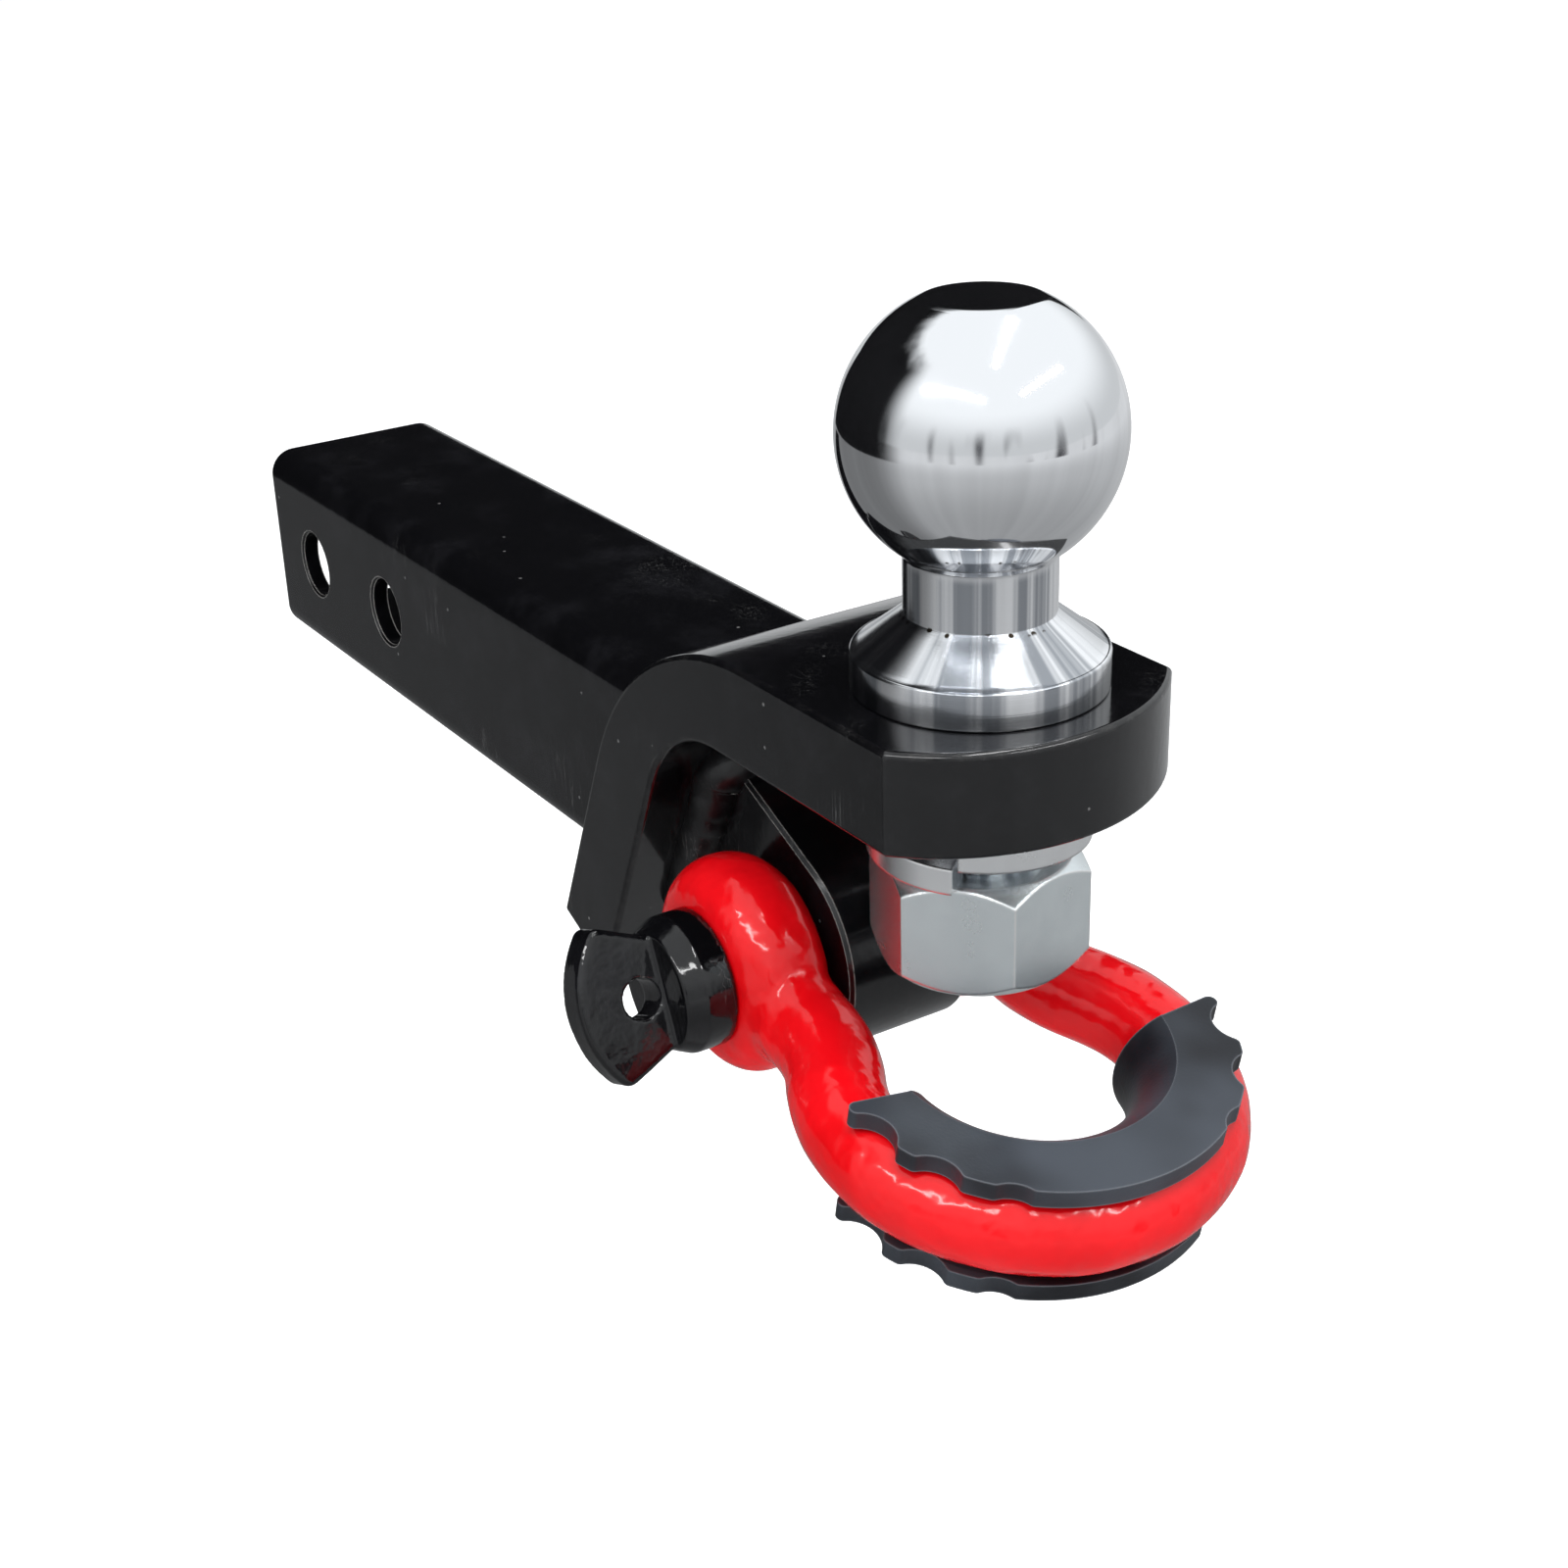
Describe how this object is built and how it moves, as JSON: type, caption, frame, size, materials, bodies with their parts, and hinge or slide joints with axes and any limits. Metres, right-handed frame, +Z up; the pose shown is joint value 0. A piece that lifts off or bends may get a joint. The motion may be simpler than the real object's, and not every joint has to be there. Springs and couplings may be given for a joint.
{
  "type": "ball and shackle hitch",
  "caption": "Square tube shank with a bent plate that carries a tow ball above and a swinging bow shackle with a rubber bow pad below.",
  "frame": {"origin": "on the axis of the forward hitch pin hole, in the middle of the square shank", "axes": "+X along the shank to the tow ball, +Y across along the hitch pin hole, +Z up along the ball"},
  "size_m": [0.339, 0.1088, 0.1713],
  "materials": {
    "black_paint": "gloss black powder coat with a slight orange peel",
    "ball_chrome": "chrome plate, mirror bright, fine turning marks on the neck",
    "washer_zinc": "pale zinc plate, satin",
    "nut_zinc": "bright zinc plate, slightly blue",
    "red_paint": "gloss red paint over a forged surface",
    "pin_black": "gloss black coat",
    "isolator_rubber": "moulded dark grey rubber, satin"
  },
  "bodies": {
    "root": {"shank_tube": "black_paint", "bent_plate": "black_paint", "shank_weld": "black_paint", "shackle_lug": "black_paint", "lug_weld": "black_paint", "hitch_ball": "ball_chrome", "lock_washer": "washer_zinc", "hex_nut": "nut_zinc"},
    "shackle": {"shackle_bow": "red_paint", "bow_isolator": "isolator_rubber"},
    "pin": {"shackle_pin": "pin_black"}
  },
  "joints": [
    {"name": "shackle_swing", "type": "hinge", "parent": "root", "child": "shackle", "pos_m": [0.16914, 0, -0.02382], "axis": [0, -1, 0], "range_deg": [-130, 34]},
    {"name": "pin_withdraw", "type": "slide", "parent": "shackle", "child": "pin", "axis": [0, -1, 0], "range_m": [0, 0.075]}
  ]
}
